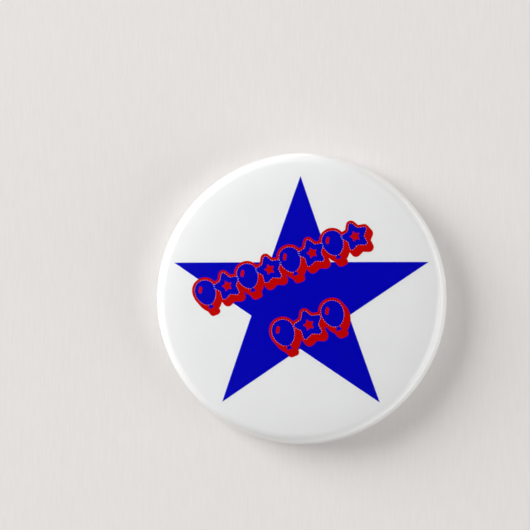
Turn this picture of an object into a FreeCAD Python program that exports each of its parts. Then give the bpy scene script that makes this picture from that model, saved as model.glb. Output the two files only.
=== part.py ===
import FreeCAD, Part
import math
import os

# A 57 mm (2 1/4 inch) button badge, standing upright as it is worn.
# The printed face looks towards -Y, the back and its pin towards +Y, +Z is up.
# The origin is on the badge's own axis, in the plane that the rim of the back rests on.
# Sections are drawn in X (radius) and Y (depth) and turned round the Y axis. Millimetres.

# Skin: clear film over printed paper over tinplate, from the outside in.
badge_radius = 28.575
badge_depth = 8.0
film_thickness = 0.08
paper_thickness = 0.14
shell_thickness = 0.26
dome_radius = 230.0
haunch_start = 21.5        # where the nearly flat face starts to fall away
haunch_radius = 40.0
shoulder_radius = 2.4
wall_flare = 12.0          # degrees: the side wall opens towards the back
curl_radius = 1.3          # the edge that is turned in at the back
curl_end_angle = 75.5      # degrees past the widest point

# Back plate: a stamped dish of tinplate with a rolled rim.
plate_thickness = 0.3
edge_radius = 27.98        # the edge, which the skin's curl holds
edge_depth = 1.85
bead_outer = 27.41
bead_inner = 26.07
bead_bend = 0.55
ledge_depth = 0.66
slope_radius = 24.7
recess_depth = 3.6
floor_radius = 21.5

# Spring wire: one wire, whose free arm is the pin and whose other end is the catch.
wire_radius = 0.43
pin_height = 7.0           # the pin lies this far above the middle
pin_depth = 2.9            # and this far in from the rim plane
hinge_x = -13.5
tip_x = 15.2
point_length = 3.2
point_radius = 0.06
elbow_radius = 0.7
swing_tilt = 28.0          # degrees between the plane that the pin swings in and the plate
catch_x = 13.1
catch_half_width = 2.0
catch_gap = 0.07           # between the pin and the catch that it lies under
catch_root = 0.98          # the catch's legs come out this far above the pin
catch_hip = (-1.85, 2.2)   # where a leg turns in: across, and along from the pin
catch_lobe = (-0.8, 3.65)  # the lowest corner on each side of the notch
catch_notch = 3.05         # how far along the notch in the middle of the loop is
run_depth = 5.0            # the hidden run of the wire behind the plate
hinge_split_depth = 4.15   # where the turning arm ends and the fixed wire starts
hinge_clearance = 0.07

# Pocket stamped in the plate round the catch, and the slot that its legs pass through.
pocket_depth = 0.5
pocket_radius = 2.5
pocket_wall = 0.5
pocket_height = 6.25
pocket_ends = (12.6, 15.0)
slot_radius = 0.52

tilt = math.radians(swing_tilt)
hinge_axis = FreeCAD.Vector(0, math.cos(tilt), math.sin(tilt))
swing_way = FreeCAD.Vector(0, math.sin(tilt), -math.cos(tilt))
hinge_point = FreeCAD.Vector(hinge_x, -pin_depth, pin_height)


def flat(r, y):
    """A point of a section: r from the badge's axis, y along it."""
    return FreeCAD.Vector(r, y, 0)


def around(centre, radius, angle):
    """The point of a section's circle at an angle in radians, 0 outwards and +90 to the back."""
    return flat(centre.x + radius * math.cos(angle), centre.y + radius * math.sin(angle))


def arc(centre, radius, start, end):
    points = [around(centre, radius, a) for a in (start, (start + end) / 2, end)]
    return Part.Arc(*points).toShape()


def line(a, b):
    return Part.LineSegment(a, b).toShape()


def turned(edges):
    """The solid that a closed section makes when it is turned round the badge's axis."""
    section = Part.Face(Part.Wire(Part.__sortEdges__(edges)))
    return section.revolve(FreeCAD.Vector(0, 0, 0), FreeCAD.Vector(0, 1, 0), 360)


def skin_line(depth):
    """The skin's outline at a depth under its surface: edges, with its first and last points."""
    flare = math.radians(wall_flare)
    curl_centre = flat(badge_radius - curl_radius, -curl_radius)
    dome_centre = flat(0, dome_radius - badge_depth)
    dome_end = -math.acos(haunch_start / dome_radius)
    haunch_centre = around(dome_centre, dome_radius - haunch_radius, dome_end)
    # The shoulder's centre lies on a line inside the wall, and inside the haunch by its radius.
    inside = curl_radius - shoulder_radius
    wall_foot = flat(curl_centre.x + inside * math.cos(flare), curl_centre.y - inside * math.sin(flare))
    along = flat(-math.sin(flare), -math.cos(flare))
    reach = haunch_radius - shoulder_radius
    apart = wall_foot - haunch_centre
    half_b = apart.dot(along)
    wall_length = -half_b + math.sqrt(half_b ** 2 - apart.dot(apart) + reach ** 2)
    shoulder_centre = wall_foot + along * wall_length
    haunch_end = math.asin((shoulder_centre.x - haunch_centre.x) / reach) - math.pi / 2
    end = math.radians(curl_end_angle)
    edges = [
        arc(dome_centre, dome_radius - depth, -math.pi / 2, dome_end),
        arc(haunch_centre, haunch_radius - depth, dome_end, haunch_end),
        arc(shoulder_centre, shoulder_radius - depth, haunch_end, -flare),
        line(around(shoulder_centre, shoulder_radius - depth, -flare),
             around(curl_centre, curl_radius - depth, -flare)),
        arc(curl_centre, curl_radius - depth, -flare, end),
    ]
    return edges, flat(0, depth - badge_depth), around(curl_centre, curl_radius - depth, end)


def skin_layer(top, thickness):
    outer, outer_middle, outer_end = skin_line(top)
    inner, inner_middle, inner_end = skin_line(top + thickness)
    return turned(outer + inner + [line(outer_middle, inner_middle), line(outer_end, inner_end)])


def rounded(points, radii):
    """Straight runs through the points, with a tangent arc at each corner between the ends."""
    edges = []
    start = points[0]
    for before, corner, after, radius in zip(points, points[1:], points[2:], radii):
        back = (before - corner).normalize()
        on = (after - corner).normalize()
        turn = math.pi - back.getAngle(on)
        reach = radius * math.tan(turn / 2)
        middle = (back + on).normalize()
        crown = corner + middle * (radius / math.cos(turn / 2) - radius)
        edges.append(line(start, corner + back * reach))
        edges.append(Part.Arc(corner + back * reach, crown, corner + on * reach).toShape())
        start = corner + on * reach
    edges.append(line(start, points[-1]))
    return edges


def rod(points, radii, radius):
    """Round wire along straight runs joined by arcs: a cylinder per run, a part of a ring per arc."""
    pieces = []
    for edge in rounded(points, radii):
        way = edge.tangentAt(edge.FirstParameter)
        start = edge.valueAt(edge.FirstParameter)
        disc = Part.Face(Part.Wire(Part.makeCircle(radius, start, way)))
        if isinstance(edge.Curve, Part.Circle):
            turn = math.degrees(edge.Length / edge.Curve.Radius)
            side = way.cross(edge.Curve.Center - start).normalize()
            pieces.append(disc.revolve(edge.Curve.Center, side, turn))
        else:
            pieces.append(disc.extrude(way * edge.Length))
    return pieces[0].fuse(pieces[1:]).removeSplitter()


def plate_dish():
    """The dish and its rim: the face seen from behind, thickened towards the front of the badge."""
    # Each corner is its radius, its depth and the radius of its bend.
    corners = [
        (edge_radius, -edge_depth, None),
        (bead_outer, -0.92, 0.35),
        (bead_outer, 0, bead_bend),
        (bead_inner, 0, bead_bend),
        (bead_inner - 0.09, -ledge_depth - 0.32, 0.2),
        (bead_inner - 0.41, -ledge_depth, 0.25),
        (slope_radius + 0.3, -ledge_depth, 0.35),
        (slope_radius, -ledge_depth - 0.29, 0.35),
        (floor_radius, -recess_depth, 0.9),
        (0, -recess_depth, None),
    ]
    points = [flat(r, y) for r, y, bend in corners]
    bends = [bend for r, y, bend in corners[1:-1]]
    seen = Part.Wire(rounded(points, bends))
    section = seen.makeOffset2D(-plate_thickness, 0, True, True)
    return section.revolve(FreeCAD.Vector(0, 0, 0), FreeCAD.Vector(0, 1, 0), 360)


def oval(radius, y, height, ends):
    """A flat outline of two half circles, at a depth y, as wide as its radius says."""
    low, high = ends
    corners = [FreeCAD.Vector(x, y, height + side * radius)
               for x, side in ((low, -1), (high, -1), (high, 1), (low, 1))]
    right = Part.Arc(corners[1], FreeCAD.Vector(high + radius, y, height), corners[2])
    left = Part.Arc(corners[3], FreeCAD.Vector(low - radius, y, height), corners[0])
    edges = [line(corners[0], corners[1]), right.toShape(), line(corners[2], corners[3]), left.toShape()]
    return Part.Wire(edges)


def back_plate():
    dish = plate_dish()
    # The stamped pocket: a boss on the hidden side and a hollow of the same shape on the seen side.
    boss = Part.makeLoft([
        oval(pocket_radius + 0.2, -recess_depth - plate_thickness + 0.05, pocket_height, pocket_ends),
        oval(pocket_radius - pocket_wall + 0.2, -recess_depth - plate_thickness - pocket_depth,
             pocket_height, pocket_ends)], True, True)
    hollow = Part.makeLoft([
        oval(pocket_radius, -recess_depth, pocket_height, pocket_ends),
        oval(pocket_radius - pocket_wall, -recess_depth - pocket_depth, pocket_height, pocket_ends)],
        True, True)
    slot_ends = (catch_x - catch_half_width, catch_x + catch_half_width)
    slot = Part.Face(oval(slot_radius, -recess_depth - 2, pin_height + catch_root, slot_ends))
    slot = slot.extrude(FreeCAD.Vector(0, 3, 0))
    hole = Part.makeCylinder(wire_radius + hinge_clearance, 4, hinge_point - hinge_axis * 3, hinge_axis)
    plate = dish.fuse(boss).cut([hollow, slot, hole])
    return plate.removeSplitter()


def pin_arm():
    """The free arm: its leg turns in the plate's hole, its point lies under the catch."""
    leg_length = (hinge_split_depth - pin_depth) / math.cos(tilt)
    shank_end = FreeCAD.Vector(tip_x - point_length, -pin_depth, pin_height)
    wire = rod([hinge_point - hinge_axis * leg_length, hinge_point, shank_end], [elbow_radius], wire_radius)
    point = Part.makeCone(wire_radius, point_radius, point_length, shank_end, FreeCAD.Vector(1, 0, 0))
    return wire.fuse(point).removeSplitter()


def catch_point(across, along):
    """A point of the catch, which lies in a plane parallel to the one that the pin swings in."""
    lift = 2 * wire_radius + catch_gap
    under = FreeCAD.Vector(catch_x + across, -pin_depth, pin_height)
    return under + hinge_axis * lift + swing_way * along


def spring_wire():
    """The fixed wire: from the hinge, behind the plate, out through the slot, round the catch and back."""
    lift = 2 * wire_radius + catch_gap
    knee = (lift * math.sin(tilt) - catch_root) / math.cos(tilt)
    root_height = pin_height + catch_root
    half = [(-catch_half_width, knee), catch_hip, catch_lobe]
    loop = [catch_point(across, along) for across, along in half]
    loop.append(catch_point(0, catch_notch))
    loop += [catch_point(-across, along) for across, along in reversed(half)]
    first = catch_x - catch_half_width
    last = catch_x + catch_half_width
    down = (run_depth - pin_depth) / math.cos(tilt)
    split = (hinge_split_depth - pin_depth) / math.cos(tilt)
    bottom = hinge_point - hinge_axis * down
    route = [
        hinge_point - hinge_axis * split,
        bottom,
        FreeCAD.Vector(first - 2.4, -run_depth, bottom.z),
        FreeCAD.Vector(first, -run_depth, root_height),
        *loop,
        FreeCAD.Vector(last, -run_depth, root_height),
        FreeCAD.Vector(last + 1.9, -run_depth, root_height),
    ]
    bends = [0.8, 1.6, 0.6, 0.6, 1.2, 0.6, 0.5, 0.6, 1.2, 0.6, 0.6]
    return rod(route, bends, wire_radius)


os.makedirs("parts", exist_ok=True)
nodes = {
    "clear_film": skin_layer(0, film_thickness),
    "printed_disc": skin_layer(film_thickness, paper_thickness),
    "front_shell": skin_layer(film_thickness + paper_thickness, shell_thickness),
    "back_plate": back_plate(),
    "spring_wire": spring_wire(),
    "pin_arm": pin_arm(),
}
for name, shape in nodes.items():
    solid = shape.Solids[0]
    solid.exportStep("parts/" + name + ".step")
    print(name, "solids", len(shape.Solids), "valid", solid.isValid(), "mm3", round(solid.Volume, 2))
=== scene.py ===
import bpy
import math
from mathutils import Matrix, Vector, geometry, noise


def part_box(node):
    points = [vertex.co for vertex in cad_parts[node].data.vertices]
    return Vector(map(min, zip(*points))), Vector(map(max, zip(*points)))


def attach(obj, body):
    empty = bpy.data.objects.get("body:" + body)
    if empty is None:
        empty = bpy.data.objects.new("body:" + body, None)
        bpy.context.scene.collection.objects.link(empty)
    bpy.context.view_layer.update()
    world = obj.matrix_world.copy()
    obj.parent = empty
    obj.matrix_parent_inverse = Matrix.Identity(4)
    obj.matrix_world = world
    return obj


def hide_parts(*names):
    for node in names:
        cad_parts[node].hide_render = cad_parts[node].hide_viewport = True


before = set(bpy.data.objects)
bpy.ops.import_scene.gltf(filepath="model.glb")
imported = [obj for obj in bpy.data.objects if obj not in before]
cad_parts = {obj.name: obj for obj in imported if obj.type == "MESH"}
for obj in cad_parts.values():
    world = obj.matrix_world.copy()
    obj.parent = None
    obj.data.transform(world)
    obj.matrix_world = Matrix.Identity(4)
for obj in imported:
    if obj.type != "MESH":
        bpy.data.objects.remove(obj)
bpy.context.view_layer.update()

# Sizes in metres, from the frame where it holds them, and otherwise the ones the CAD is built from.
# The badge's axis is Y, and its face looks to -Y.
MM = 0.001
film_low, film_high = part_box("clear_film")
RADIUS = (film_high.x - film_low.x) / 2
DEPTH = -film_low.y
DOME_RADIUS = 230 * MM
HAUNCH_START = 21.5 * MM
HAUNCH_RADIUS = 40 * MM
SHOULDER_RADIUS = 2.4 * MM
WALL_FLARE = math.radians(12)
CURL_RADIUS = 1.3 * MM
CURL_END = math.radians(75.5)
PLATE_FLOOR_RADIUS = 21.5 * MM

# Depths of each layer's two faces under the badge's surface: the film, the inks and the paper.
FILM = (0.0, 0.030 * MM)
DOTS = (0.036 * MM, 0.040 * MM)
SHINES = (0.042 * MM, 0.046 * MM)
FILLS = (0.048 * MM, 0.052 * MM)
OUTLINES = (0.055 * MM, 0.060 * MM)
STAR = (0.064 * MM, 0.072 * MM)
PAPER = (0.080 * MM, 0.220 * MM)

# Film and paper: parts round the axis, and rows along the section of each arc.
SKIN_SEGMENTS = 432
DOME_ROWS = 26
HAUNCH_ROWS = 10
SHOULDER_ROWS = 18
CURL_ROWS = 16

# The turned-in edge: how high its pleats stand, and how fine the noise round it is for the pleats,
# for the long waves of its cut and for the short ones.
PLEAT = 0.018 * MM
PLEAT_FINENESS = 26
WAVE_FINENESS = 9
TOOTH_FINENESS = 40
SHARP_ANGLE = math.radians(35)


# ---------------------------------------------------------------- the skin's shape

def polar(centre, radius, angle):
    """The point at an angle on a circle."""
    return (centre[0] + radius * math.cos(angle), centre[1] + radius * math.sin(angle))


class Skin:
    """The arcs of the skin's half section, as (radius, y): dome, haunch, shoulder and curl.

    The shoulder's centre lies on a line inside the wall, at the reach from the haunch's centre.
    """
    curl = (RADIUS - CURL_RADIUS, -CURL_RADIUS)
    dome = (0.0, DOME_RADIUS - DEPTH)
    dome_end = -math.acos(HAUNCH_START / DOME_RADIUS)
    haunch = polar(dome, DOME_RADIUS - HAUNCH_RADIUS, dome_end)
    reach = HAUNCH_RADIUS - SHOULDER_RADIUS
    inside = CURL_RADIUS - SHOULDER_RADIUS
    foot = (curl[0] + inside * math.cos(WALL_FLARE), curl[1] - inside * math.sin(WALL_FLARE))
    along = (-math.sin(WALL_FLARE), -math.cos(WALL_FLARE))
    apart = (foot[0] - haunch[0], foot[1] - haunch[1])
    half_b = apart[0] * along[0] + apart[1] * along[1]
    length = -half_b + math.sqrt(half_b ** 2 - apart[0] ** 2 - apart[1] ** 2 + reach ** 2)
    shoulder = (foot[0] + along[0] * length, foot[1] + along[1] * length)
    haunch_end = math.asin((shoulder[0] - haunch[0]) / reach) - math.pi / 2


# Where the surface starts to bend sharply, in millimetres from the axis, less a small margin.
SHOULDER_START = polar(Skin.haunch, HAUNCH_RADIUS, Skin.haunch_end)[0] / MM - 0.1


def skin_profile(depth, curl_end):
    """Points of the section at a depth under the surface, from just off the axis to the curl's end."""
    steps = [
        (Skin.dome, DOME_RADIUS - depth, -math.pi / 2, Skin.dome_end, DOME_ROWS),
        (Skin.haunch, HAUNCH_RADIUS - depth, Skin.dome_end, Skin.haunch_end, HAUNCH_ROWS),
        (Skin.shoulder, SHOULDER_RADIUS - depth, Skin.haunch_end, -WALL_FLARE, SHOULDER_ROWS),
        (Skin.curl, CURL_RADIUS - depth, -WALL_FLARE, curl_end, CURL_ROWS),
    ]
    points = []
    for centre, radius, start, end, count in steps:
        first = 0 if centre is Skin.curl else 1
        points += [polar(centre, radius, start + (end - start) * i / count)
                   for i in range(first, count + 1)]
    return points


def skin_y(r, depth):
    """How far back the surface is at a radius r, on the dome, the haunch or the shoulder."""
    centre, radius = Skin.shoulder, SHOULDER_RADIUS - depth
    if r <= polar(Skin.dome, DOME_RADIUS - depth, Skin.dome_end)[0]:
        centre, radius = Skin.dome, DOME_RADIUS - depth
    elif r <= polar(Skin.haunch, HAUNCH_RADIUS - depth, Skin.haunch_end)[0]:
        centre, radius = Skin.haunch, HAUNCH_RADIUS - depth
    across = min(r - centre[0], radius)
    return centre[1] - math.sqrt(radius ** 2 - across ** 2)


def make_piece(name, vertices, faces, material):
    """A mesh object of the badge's own body, in its material slot."""
    mesh = bpy.data.meshes.new(name)
    mesh.from_pydata(vertices, [], faces)
    mesh.validate()
    mesh.materials.append(material)
    mesh.shade_smooth()
    mesh.set_sharp_from_angle(angle=SHARP_ANGLE)
    piece = bpy.data.objects.new(name, mesh)
    bpy.context.scene.collection.objects.link(piece)
    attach(piece, "badge")
    return piece


def skin_sheet(name, depths, material, ragged, seed):
    """One closed layer of the skin, whose turned-in edge is cut unevenly and lies in small pleats."""
    vertices = []
    for depth in depths:
        vertices.append((0, skin_y(0, depth), 0))
        for i in range(SKIN_SEGMENTS):
            turn = 2 * math.pi * i / SKIN_SEGMENTS
            ring = Vector((math.cos(turn), math.sin(turn), 0))
            uneven = noise.noise(ring * WAVE_FINENESS + Vector((seed, 0, 3)))
            uneven += 0.5 * noise.noise(ring * TOOTH_FINENESS)
            profile = skin_profile(depth, CURL_END + ragged * uneven)
            fold = max(0.0, noise.noise(ring * PLEAT_FINENESS + Vector((0, 0, 7))))
            for r, y in profile:
                back = max(0.0, 1 + y / CURL_RADIUS)
                out = Vector((r - Skin.curl[0], y - Skin.curl[1])).normalized()
                out = out * PLEAT * back * fold
                vertices.append(((r + out.x) * ring.x, y + out.y, (r + out.x) * ring.y))
    rows = len(profile)
    layer = 1 + SKIN_SEGMENTS * rows
    faces = []
    for i in range(SKIN_SEGMENTS):
        a, b = 1 + i * rows, 1 + (i + 1) % SKIN_SEGMENTS * rows
        faces.append((0, a, b))
        faces.append((layer, layer + b, layer + a))
        for row in range(rows - 1):
            face = (a + row, a + row + 1, b + row + 1, b + row)
            faces.append(face)
            faces.append(tuple(layer + v for v in reversed(face)))
        end = rows - 1
        faces.append((b + end, a + end, layer + a + end, layer + b + end))
    return make_piece(name, vertices, faces, material)


# ---------------------------------------------------------------- the printed design

# Shapes and distances of the design are in millimetres across the face.
ARC_STEPS = 8
SMALL_STAR_OUTER = 3.1
SMALL_STAR_INNER = 1.68
SMALL_STAR_ROUNDING = 0.42
EGG_STEPS = 48
EGG_HALF_WIDTH = 2.0
EGG_HALF_HEIGHT = 2.45
EGG_TAPER = 0.13
EGG_RISE = 0.3
KNOT = ((0, -1.75), (-0.62, -2.9), (0.62, -2.9))
KNOT_ROUNDING = 0.14
SHINE_STAR_OUTER = 1.15
SHINE_STAR_INNER = 0.6
SHINE_STAR_ROUNDING = 0.1
SHINE_RADII = (1.35, 0.75)
SHINE_STEPS = 12
SHINE_FROM = 105
SHINE_TURN = 70
SHINE_HEIGHT = 1.25
SHINE_RISE = 0.35
SMOOTHING_PASSES = 3

# How finely the inks are divided: along their edges, on the flat face, and in rings on the shoulder.
# The flat grid is of equal-sided triangles, and GRID_ROW is their height as a share of the step.
EDGE_STEP = 0.4
SHOULDER_EDGE_STEP = 0.12
GRID_STEP = 0.8
GRID_ROW = 0.866
RING_SPACING = 0.35
RING_STEP = 0.14
MERGE_DISTANCE = 1e-6


def rounded_loop(corners, radius):
    """A closed loop of points through the corners, each rounded by an arc."""
    points = []
    for i, corner in enumerate(corners):
        to_last = (corners[i - 1] - corner).normalized()
        to_next = (corners[(i + 1) % len(corners)] - corner).normalized()
        half = to_last.angle(to_next) / 2
        middle = corner + (to_last + to_next).normalized() * (radius / math.sin(half))
        start = corner + to_last * (radius / math.tan(half)) - middle
        turn = start.angle_signed(corner + to_next * (radius / math.tan(half)) - middle)
        for k in range(ARC_STEPS + 1):
            angle = -turn * k / ARC_STEPS
            points.append(middle + Vector((start.x * math.cos(angle) - start.y * math.sin(angle),
                                           start.x * math.sin(angle) + start.y * math.cos(angle))))
    return points


def star_corners(outer, inner):
    """A five-pointed star's corners, one point up, anticlockwise."""
    return [Vector((math.sin(-math.pi * k / 5), math.cos(-math.pi * k / 5))) * (inner if k % 2 else outer)
            for k in range(10)]


def star_shape(size):
    """A small star with rounded corners."""
    return [rounded_loop(star_corners(SMALL_STAR_OUTER * size, SMALL_STAR_INNER * size),
                         SMALL_STAR_ROUNDING * size)]


def balloon_shape(size):
    """An egg-shaped balloon and the small knot under it."""
    egg = []
    for k in range(EGG_STEPS):
        turn = 2 * math.pi * k / EGG_STEPS
        across = EGG_HALF_WIDTH * math.cos(turn) * (1 + EGG_TAPER * math.sin(turn))
        egg.append(Vector((across, EGG_HALF_HEIGHT * math.sin(turn) + EGG_RISE)) * size)
    knot = [Vector(corner) * size for corner in KNOT]
    return [egg, rounded_loop(knot, KNOT_ROUNDING * size)]


def shine_shape(size, kind):
    """The small bright mark inside a shape: a bent bar on a balloon, a smaller star on a star."""
    if kind == "star":
        return [rounded_loop(star_corners(SHINE_STAR_OUTER * size, SHINE_STAR_INNER * size),
                             SHINE_STAR_ROUNDING * size)]
    bar = []
    outwards = range(SHINE_STEPS + 1)
    for radius, order in zip(SHINE_RADII, (outwards, reversed(outwards))):
        for k in order:
            turn = math.radians(SHINE_FROM + SHINE_TURN * k / SHINE_STEPS)
            rise = SHINE_HEIGHT * radius * math.sin(turn) + SHINE_RISE
            bar.append(Vector((radius * math.cos(turn), rise)) * size)
    return [rounded_ends(bar)]


def rounded_ends(loop):
    """Smooths a closed loop by averaging neighbours, which rounds its corners."""
    for _ in range(SMOOTHING_PASSES):
        loop = [(loop[i - 1] + loop[i] * 2 + loop[(i + 1) % len(loop)]) / 4
                for i in range(len(loop))]
    return loop


def grown(loop, distance):
    """The loop moved outwards by a distance."""
    result = []
    for i, point in enumerate(loop):
        along = loop[(i + 1) % len(loop)] - loop[i - 1]
        result.append(point + Vector((along.y, -along.x)).normalized() * distance)
    return result


def placed(loop, angle, middle):
    """The loop turned by an angle and moved to its middle."""
    turned = [Vector((p.x * math.cos(angle) - p.y * math.sin(angle),
                      p.x * math.sin(angle) + p.y * math.cos(angle)))
              for p in loop]
    return [p + middle for p in turned]


def divided(loop):
    """The loop with its long sides cut short enough to follow the surface."""
    points = []
    for i, point in enumerate(loop):
        following = loop[(i + 1) % len(loop)]
        bent = max(point.length, following.length) > SHOULDER_START
        step = SHOULDER_EDGE_STEP if bent else EDGE_STEP
        count = max(1, math.ceil((following - point).length / step))
        points += [point.lerp(following, k / count) for k in range(count)]
    return points


def ink_layer(name, loops, depths, material):
    """Thin closed solids of ink that follow the surface, over the union of the loops."""
    points, outlines = [], []
    for loop in loops:
        loop = divided(loop)
        outlines.append(list(range(len(points), len(points) + len(loop))))
        points += loop
    reach = max(p.length for p in points)
    across = range(-math.ceil(reach / GRID_STEP), math.ceil(reach / GRID_STEP) + 1)
    grid = [Vector((GRID_STEP * (i + 0.5 * (k % 2)), GRID_STEP * k * GRID_ROW))
            for i in across for k in across]
    points += [p for p in grid if p.length < SHOULDER_START]
    r = SHOULDER_START
    while r < reach:
        turns = math.ceil(2 * math.pi * r / RING_SPACING)
        points += [Vector((math.cos(2 * math.pi * k / turns), math.sin(2 * math.pi * k / turns))) * r
                   for k in range(turns)]
        r += RING_STEP
    flat, _, triangles, _, _, _ = geometry.delaunay_2d_cdt(points, [], outlines, 1, MERGE_DISTANCE)
    used = sorted({v for t in triangles for v in t})
    number = {v: i for i, v in enumerate(used)}
    count = len(used)
    vertices = []
    for depth in depths:
        for v in used:
            x, z = flat[v] * MM
            vertices.append((x, skin_y(math.hypot(x, z), depth), z))
    faces = []
    edges = set()
    for t in triangles:
        a, b, c = (number[v] for v in t)
        faces.append((a, b, c))
        faces.append((c + count, b + count, a + count))
        edges |= {(a, b), (b, c), (c, a)}
    for a, b in edges:
        if (b, a) not in edges:
            faces.append((b, a, a + count, b + count))
    return make_piece(name, vertices, faces, material)


def dots_along(loop, spacing, radius):
    """Small round dots along a closed loop."""
    dots = []
    left = 0.0
    for i, point in enumerate(loop):
        side = loop[(i + 1) % len(loop)] - point
        while left < side.length:
            middle = point + side.normalized() * left
            dots.append([middle + Vector((math.cos(k * math.pi / 3), math.sin(k * math.pi / 3))) * radius
                         for k in range(6)])
            left += spacing
        left -= side.length
    return dots


# ---------------------------------------------------------------- materials

def add(tree, kind, values=None, **settings):
    """A new node with its sockets' values and its own settings."""
    made = tree.nodes.new(kind)
    for key, value in settings.items():
        setattr(made, key, value)
    for key, value in (values or {}).items():
        made.inputs[key].default_value = value
    return made


def material(name):
    """An empty material with its output and the object's own coordinates."""
    made = bpy.data.materials.new(name)
    made.use_nodes = True
    tree = made.node_tree
    tree.nodes.clear()
    output = add(tree, "ShaderNodeOutputMaterial")
    place = add(tree, "ShaderNodeTexCoord")
    return made, tree, output, place.outputs["Object"]


def noise_at(tree, place, scale, detail=3.0, roughness=0.5):
    """Noise with its own scale along each axis, in cycles per metre."""
    mapping = add(tree, "ShaderNodeMapping", {"Scale": scale})
    tree.links.new(place, mapping.inputs["Vector"])
    texture = add(tree, "ShaderNodeTexNoise", {"Scale": 1.0, "Detail": detail, "Roughness": roughness})
    tree.links.new(mapping.outputs["Vector"], texture.inputs["Vector"])
    return texture.outputs["Fac"]


def ramp(tree, factor, stops):
    """A colour ramp of (position, colour) stops."""
    made = add(tree, "ShaderNodeValToRGB")
    elements = made.color_ramp.elements
    while len(elements) < len(stops):
        elements.new(0.5)
    for element, (position, colour) in zip(elements, stops):
        element.position = position
        element.color = (*colour, 1.0)
    tree.links.new(factor, made.inputs["Fac"])
    return made.outputs["Color"]


def span(tree, value, start, end, low, high):
    """A value spread from one range onto another, held at its ends."""
    made = add(tree, "ShaderNodeMapRange",
               {"From Min": start, "From Max": end, "To Min": low, "To Max": high})
    tree.links.new(value, made.inputs["Value"])
    return made.outputs["Result"]


def mixed(tree, factor, first, second, blend="MIX"):
    """Two colours mixed by a factor."""
    made = add(tree, "ShaderNodeMix", data_type="RGBA", blend_type=blend)
    for name, source in (("Factor_Float", factor), ("A_Color", first), ("B_Color", second)):
        socket = next(i for i in made.inputs if i.identifier == name)
        if isinstance(source, (float, int)):
            socket.default_value = source
        else:
            tree.links.new(source, socket)
    return next(o for o in made.outputs if o.identifier == "Result_Color")


def sums(tree, kind, *values):
    """One step of arithmetic on sockets or plain numbers."""
    made = add(tree, "ShaderNodeMath", operation=kind)
    for i, value in enumerate(values):
        if isinstance(value, (float, int)):
            made.inputs[i].default_value = value
        else:
            tree.links.new(value, made.inputs[i])
    return made.outputs["Value"]


def bump(tree, height, strength, distance):
    """A normal that follows a height; the distance is in metres."""
    made = add(tree, "ShaderNodeBump", {"Strength": strength, "Distance": distance})
    tree.links.new(height, made.inputs["Height"])
    return made.outputs["Normal"]


def surface(tree, output, colour, roughness, normal, **values):
    """A shader with these three sockets linked and the other values set."""
    shader = add(tree, "ShaderNodeBsdfPrincipled", values)
    tree.links.new(colour, shader.inputs["Base Color"])
    tree.links.new(roughness, shader.inputs["Roughness"])
    tree.links.new(normal, shader.inputs["Normal"])
    tree.links.new(shader.outputs["BSDF"], output.inputs["Surface"])
    return shader


def printed(name, light, dark, speckle):
    """Coated paper or ink on it: fine fibres, faint mottling and a soft bump."""
    made, tree, output, place = material(name)
    fibres = noise_at(tree, place, (5200, 5200, 5200), detail=4.0, roughness=0.65)
    mottle = noise_at(tree, place, (260, 260, 260), detail=2.0)
    blend = sums(tree, "ADD", sums(tree, "MULTIPLY", fibres, speckle),
                 sums(tree, "MULTIPLY", mottle, 1 - speckle))
    colour = ramp(tree, blend, [(0.3, dark), (0.7, light)])
    roughness = span(tree, fibres, 0.3, 0.7, 0.5, 0.66)
    normal = bump(tree, fibres, strength=0.2, distance=0.01 * MM)
    surface(tree, output, colour, roughness, normal, **{"Specular IOR Level": 0.0})
    return made


# The share of light that the film reflects straight on, the share that a glancing angle adds, and
# the power that it grows with towards that angle.
STRAIGHT_SHINE = 0.012
GLANCING_SHINE = 0.9
GLANCING_POWER = 5.0


def clear_film(name):
    """Clear polyester: light passes straight through, and the surface adds its shine."""
    made, tree, output, place = material(name)
    ripple = noise_at(tree, place, (300, 300, 300), detail=2.0)
    normal = bump(tree, ripple, strength=0.12, distance=0.04 * MM)
    clear = add(tree, "ShaderNodeBsdfTransparent", {"Color": (0.99, 0.993, 0.995, 1.0)})
    shine = add(tree, "ShaderNodeBsdfGlossy", {"Color": (1.0, 1.0, 1.0, 1.0)})
    scuffs = noise_at(tree, place, (900, 900, 900), detail=4.0, roughness=0.6)
    tree.links.new(span(tree, scuffs, 0.35, 0.7, 0.10, 0.16), shine.inputs["Roughness"])
    tree.links.new(normal, shine.inputs["Normal"])
    edge = add(tree, "ShaderNodeLayerWeight", {"Blend": 0.5})
    tree.links.new(normal, edge.inputs["Normal"])
    glancing = sums(tree, "POWER", edge.outputs["Facing"], GLANCING_POWER)
    both = add(tree, "ShaderNodeMixShader")
    amount = sums(tree, "MULTIPLY_ADD", glancing, GLANCING_SHINE, STRAIGHT_SHINE)
    tree.links.new(amount, both.inputs["Fac"])
    tree.links.new(clear.outputs["BSDF"], both.inputs[1])
    tree.links.new(shine.outputs["BSDF"], both.inputs[2])
    tree.links.new(both.outputs["Shader"], output.inputs["Surface"])
    return made


def wire_metal(name):
    """Nickel-plated spring wire, with faint draw marks and a few darker spots."""
    made, tree, output, place = material(name)
    draw = noise_at(tree, place, (160, 9000, 9000), detail=3.0)
    spots = noise_at(tree, place, (700, 700, 700), detail=4.0, roughness=0.6)
    colour = ramp(tree, spots, [(0.25, (0.56, 0.555, 0.54)), (0.5, (0.74, 0.74, 0.74)),
                                (0.8, (0.82, 0.82, 0.825))])
    roughness = span(tree, sums(tree, "ADD", draw, spots), 0.7, 1.3, 0.10, 0.24)
    normal = bump(tree, draw, strength=0.15, distance=0.006 * MM)
    surface(tree, output, colour, roughness, normal, Metallic=1.0)
    return made


# The width over which the plate's floor, rough and darkened with painted shade, turns burnished and
# unshaded.
BURNISH_AND_SHADE_BLEND = 0.6 * MM


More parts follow.
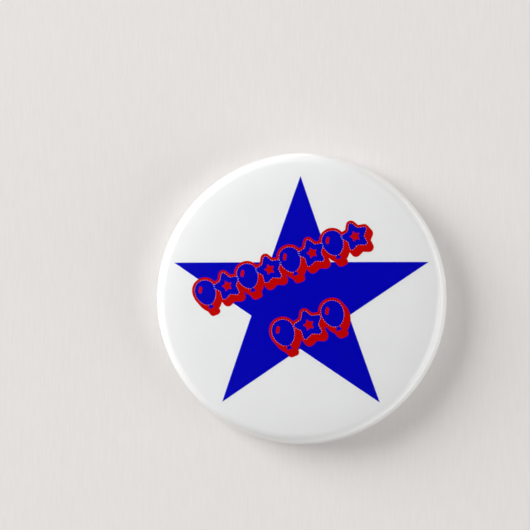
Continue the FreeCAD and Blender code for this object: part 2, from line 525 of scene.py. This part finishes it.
def plate_metal(name, floor_radius):
    """Stamped tinplate with an upright grain, rough on its flat floor and burnished outside it. The
    floor's colour is a darker copy of the metal's colour: painted shade.
    """
    made, tree, output, place = material(name)
    flat = add(tree, "ShaderNodeVectorMath", operation="MULTIPLY")
    flat.inputs[1].default_value = (1, 0, 1)
    tree.links.new(place, flat.inputs[0])
    length = add(tree, "ShaderNodeVectorMath", operation="LENGTH")
    tree.links.new(flat.outputs["Vector"], length.inputs[0])
    # One outside the floor, where the metal is burnished and free of painted shade; nought on the floor.
    burnished_unshaded = span(tree, length.outputs["Value"], floor_radius, floor_radius + BURNISH_AND_SHADE_BLEND, 0.0, 1.0)
    grain = noise_at(tree, place, (4200, 900, 130), detail=4.0, roughness=0.6)
    cloud = noise_at(tree, place, (140, 140, 140), detail=3.0)
    # The floor's colour is painted shade: a darker copy of the burnished metal's colour.
    painted_shade_floor = ramp(tree, grain, [(0.3, (0.27, 0.275, 0.29)), (0.7, (0.45, 0.455, 0.47))])
    bright = ramp(tree, grain, [(0.3, (0.84, 0.84, 0.845)), (0.7, (0.93, 0.93, 0.93))])
    tone = ramp(tree, cloud, [(0.3, (0.86, 0.86, 0.87)), (0.7, (1.0, 1.0, 1.0))])
    colour = mixed(tree, 1.0, mixed(tree, burnished_unshaded, painted_shade_floor, bright), tone, "MULTIPLY")
    base = sums(tree, "ADD", span(tree, burnished_unshaded, 0.0, 1.0, 0.28, 0.10),
                sums(tree, "MULTIPLY", cloud, 0.06))
    roughness = sums(tree, "ADD", base, sums(tree, "MULTIPLY", grain, 0.10))
    normal = bump(tree, grain, strength=0.22, distance=0.008 * MM)
    surface(tree, output, colour, roughness, normal, Metallic=1.0)
    return made


film_material = clear_film("clear_film")
paper_material = printed("white_paper", (0.915, 0.915, 0.91), (0.885, 0.885, 0.88), 0.6)
blue_material = printed("blue_ink", (0.0, 0.0, 0.535), (0.0, 0.0, 0.465), 0.5)
red_material = printed("red_ink", (0.60, 0.0, 0.0), (0.53, 0.0, 0.0), 0.5)
shell_material = plate_metal("tinplate", 0.0)
plate_material = plate_metal("back_tinplate", PLATE_FLOOR_RADIUS)
wire_material = wire_metal("spring_wire")

for node, finish in (("front_shell", shell_material), ("back_plate", plate_material),
                     ("spring_wire", wire_material), ("pin_arm", wire_material)):
    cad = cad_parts[node]
    cad.data.materials.clear()
    cad.data.materials.append(finish)

# ---------------------------------------------------------------- the badge's own pieces

film = skin_sheet("clear_film_wrap", FILM, film_material, ragged=0.07, seed=1)
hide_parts("clear_film")
paper = skin_sheet("printed_paper", PAPER, paper_material, ragged=0.09, seed=5)
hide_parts("printed_disc")

# The big star is regular, then stretched a little across. STAR_INNER is its inner radius as a share.
STAR_RADIUS = 24.17
STAR_INNER = 0.382
STAR_STRETCH = 1.0746
STAR_MIDDLE = Vector((0.45, -0.52))
star = [Vector((p.x * STAR_STRETCH, p.y)) + STAR_MIDDLE
        for p in star_corners(STAR_RADIUS, STAR_RADIUS * STAR_INNER)]
ink_layer("printed_star", [star], STAR, blue_material)

# Two slanted rows of balloons and stars: each row's middle, count, spacing and size.
ROW_ANGLE = math.radians(21)
ROWS = (
    (Vector((-3.4, 6.35)), 8, 4.42, 1.0),
    (Vector((2.15, -5.15)), 3, 5.1, 1.06),
)
# Each shape's red edge, and how far its red drop shadow reaches to the right and down.
OUTLINE_WIDTH = 0.55
SHADOW = Vector((0.75, -0.85))
SHADOW_STEPS = 5
DOT_SPACING = 0.48
DOT_RADIUS = 0.05
fills, outlines, shines, dots = [], [], [], []
for middle, count, pitch, size in ROWS:
    for k in range(count):
        kind = "star" if k % 2 else "balloon"
        along = (k - (count - 1) / 2) * pitch
        spot = middle + Vector((math.cos(ROW_ANGLE), math.sin(ROW_ANGLE))) * along
        loops = star_shape(size) if kind == "star" else balloon_shape(size)
        for loop in loops:
            fills.append(placed(loop, ROW_ANGLE, spot))
            wide = placed(grown(loop, OUTLINE_WIDTH), ROW_ANGLE, spot)
            for step in range(SHADOW_STEPS + 1):
                outlines.append([p + SHADOW * (step / SHADOW_STEPS) for p in wide])
        shines += [placed(loop, ROW_ANGLE, spot) for loop in shine_shape(size, kind)]
        edge = placed(grown(loops[0], DOT_RADIUS), ROW_ANGLE, spot)
        dots += dots_along(edge, DOT_SPACING, DOT_RADIUS)
ink_layer("printed_outlines", outlines, OUTLINES, red_material)
ink_layer("printed_fills", fills, FILLS, blue_material)
ink_layer("printed_shines", shines, SHINES, red_material)
ink_layer("printed_dots", dots, DOTS, paper_material)

# ---------------------------------------------------------------- the floor, the light and the camera

def floor_material():
    """Pale paper with a fine upright grain. Its back lets the view through to the badge."""
    made, tree, output, place = material("floor")
    grain = noise_at(tree, place, (2600, 2600, 240), detail=4.0, roughness=0.6)
    colour = ramp(tree, grain, [(0.3, (0.765, 0.736, 0.719)), (0.7, (0.799, 0.769, 0.752))])
    shader = surface(tree, output, colour, span(tree, grain, 0.3, 0.7, 0.8, 0.95),
                     bump(tree, grain, strength=0.1, distance=0.02 * MM),
                     **{"Specular IOR Level": 0.0})
    clear = add(tree, "ShaderNodeBsdfTransparent")
    facing = add(tree, "ShaderNodeNewGeometry")
    both = add(tree, "ShaderNodeMixShader")
    tree.links.new(facing.outputs["Backfacing"], both.inputs["Fac"])
    tree.links.new(shader.outputs["BSDF"], both.inputs[1])
    tree.links.new(clear.outputs["BSDF"], both.inputs[2])
    tree.links.new(both.outputs["Shader"], output.inputs["Surface"])
    return made


# The sheet that the badge lies against is a ring, open behind the badge.
FLOOR_REACH = 3.0
FLOOR_HOLE = 26 * MM
FLOOR_SEGMENTS = 96
FLOOR_GAP = 0.3 * MM
rim, faces = [], []
for k in range(FLOOR_SEGMENTS):
    turn = 2 * math.pi * k / FLOOR_SEGMENTS
    rim += [(FLOOR_HOLE * math.cos(turn), FLOOR_GAP, FLOOR_HOLE * math.sin(turn)),
            (FLOOR_REACH * math.cos(turn), FLOOR_GAP, FLOOR_REACH * math.sin(turn))]
    a, b = 2 * k, 2 * ((k + 1) % FLOOR_SEGMENTS)
    faces.append((a, a + 1, b + 1, b))
floor_mesh = bpy.data.meshes.new("floor")
floor_mesh.from_pydata(rim, [], faces)
floor_mesh.materials.append(floor_material())
floor = bpy.data.objects.new("floor", floor_mesh)
bpy.context.scene.collection.objects.link(floor)
floor.visible_shadow = False


def soft_light(name, place, size, radiance):
    """A square soft light that looks at the badge. Its power follows from its size and radiance."""
    lamp = bpy.data.lights.new(name, "AREA")
    lamp.size = size
    lamp.energy = radiance * math.pi * size ** 2
    made = bpy.data.objects.new(name, lamp)
    made.location = place
    made.rotation_euler = Vector(place).to_track_quat("Z", "Y").to_euler()
    bpy.context.scene.collection.objects.link(made)


soft_light("key", (-1.28, -0.70, 0.65), size=1.1, radiance=7.6)
soft_light("side", (1.34, -0.46, -0.46), size=1.0, radiance=3.2)
soft_light("back_key", (1.2, 0.9, 0.9), size=0.7, radiance=3.2)
soft_light("back_fill", (-1.3, 0.9, -0.2), size=0.6, radiance=1.3)
soft_light("back_strip", (-0.2, 1.5, 0.9), size=0.22, radiance=16.0)

# The room is bright round its sides, dark ahead and behind, and a little dimmer below.
ROOM_COLOUR = (1.0, 0.99, 0.975, 1.0)
ROOM_BRIGHT = 0.64
ROOM_DARK = 0.06
ROOM_BELOW = 0.85
BACKDROP_COLOUR = (0.75, 0.725, 0.70, 1.0)
world = bpy.data.worlds.new("studio")
world.use_nodes = True
bpy.context.scene.world = world
tree = world.node_tree
tree.nodes.clear()
output = add(tree, "ShaderNodeOutputWorld")
place = add(tree, "ShaderNodeTexCoord")
parts = add(tree, "ShaderNodeSeparateXYZ")
tree.links.new(place.outputs["Generated"], parts.inputs["Vector"])
room = add(tree, "ShaderNodeBackground", {"Color": ROOM_COLOUR})
beside = span(tree, sums(tree, "ABSOLUTE", parts.outputs["Y"]), 0.6, 1.0, ROOM_BRIGHT, ROOM_DARK)
above = span(tree, parts.outputs["Z"], -0.9, 0.1, ROOM_BELOW, 1.0)
tree.links.new(sums(tree, "MULTIPLY", beside, above), room.inputs["Strength"])
backdrop = add(tree, "ShaderNodeBackground", {"Color": BACKDROP_COLOUR, "Strength": 1.0})
path = add(tree, "ShaderNodeLightPath")
both = add(tree, "ShaderNodeMixShader")
tree.links.new(path.outputs["Is Camera Ray"], both.inputs["Fac"])
tree.links.new(room.outputs["Background"], both.inputs[1])
tree.links.new(backdrop.outputs["Background"], both.inputs[2])
tree.links.new(both.outputs["Shader"], output.inputs["Surface"])

# The camera looks almost straight at the face, which lies to the lower right of its view.
VIEW_AZIMUTH = math.radians(6)
VIEW_ELEVATION = math.radians(-1.5)
DISTANCE = 0.40
VIEW_WIDTH = 103.8 * MM
BESIDE = 6.98 * MM
BELOW = 6.56 * MM
SENSOR_WIDTH = 36
NEAR = 0.01
back = Vector((math.sin(VIEW_AZIMUTH) * math.cos(VIEW_ELEVATION),
               -math.cos(VIEW_AZIMUTH) * math.cos(VIEW_ELEVATION), math.sin(VIEW_ELEVATION)))
right = Vector((math.cos(VIEW_AZIMUTH), math.sin(VIEW_AZIMUTH), 0))
up = back.cross(right)
lens = bpy.data.cameras.new("camera")
lens.sensor_width = SENSOR_WIDTH
lens.lens = SENSOR_WIDTH * DISTANCE / VIEW_WIDTH
lens.clip_start = NEAR
camera = bpy.data.objects.new("camera", lens)
camera.location = Vector((0, -CURL_RADIUS, 0)) - right * BESIDE + up * BELOW + back * DISTANCE
camera.rotation_euler = back.to_track_quat("Z", "Y").to_euler()
bpy.context.scene.collection.objects.link(camera)
bpy.context.scene.camera = camera
bpy.context.scene.view_settings.view_transform = "Standard"

bpy.context.view_layer.update()
